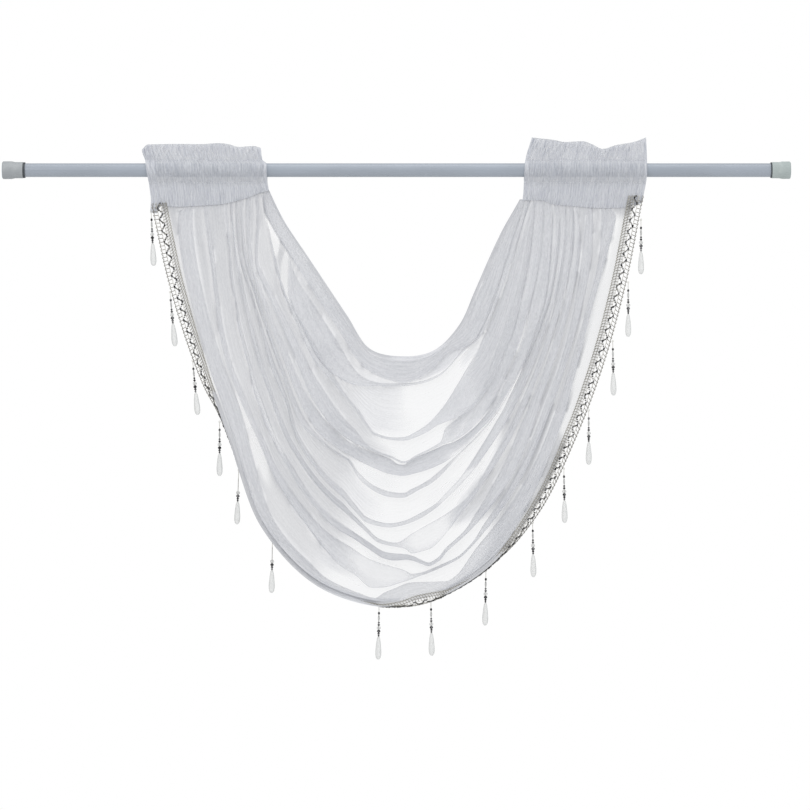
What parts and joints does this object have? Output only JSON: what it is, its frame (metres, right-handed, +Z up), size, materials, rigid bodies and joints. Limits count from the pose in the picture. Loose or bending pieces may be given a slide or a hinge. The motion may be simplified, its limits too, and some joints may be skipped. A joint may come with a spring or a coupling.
{
  "type": "swag drape on a tension rod",
  "caption": "Sheer swag hung from two gathered rod pockets on a plain tension rod, edged with a beaded lace braid and strings of crystal beads.",
  "frame": {"origin": "centre of the left end cap's outer face, on the rod's axis", "axes": "+X along the rod to the right end cap, +Z up, the front of the cloth faces -Y"},
  "size_m": [0.914, 0.0289, 0.6075],
  "materials": {
    "rod_steel": "satin blue-grey paint",
    "cap_rubber": "satin pale grey rubber",
    "collar_dark": "matt dark grey",
    "voile": "sheer crinkled white voile",
    "lace": "cream lace braid with dark silver beads",
    "beads": "clear faceted beads on thread"
  },
  "bodies": {
    "root": {"rod_tube": "rod_steel", "end_cap_left": "cap_rubber", "end_cap_right": "cap_rubber", "collar_left": "collar_dark", "collar_right": "collar_dark", "heading_left": "voile", "heading_right": "voile", "swag": "voile", "braid": "lace", "drop_01": "beads", "drop_02": "beads", "drop_03": "beads", "drop_04": "beads", "drop_05": "beads", "drop_06": "beads", "drop_07": "beads", "drop_08": "beads", "drop_09": "beads", "drop_10": "beads", "drop_11": "beads", "drop_12": "beads", "drop_13": "beads", "drop_14": "beads", "drop_15": "beads"}
  },
  "joints": []
}
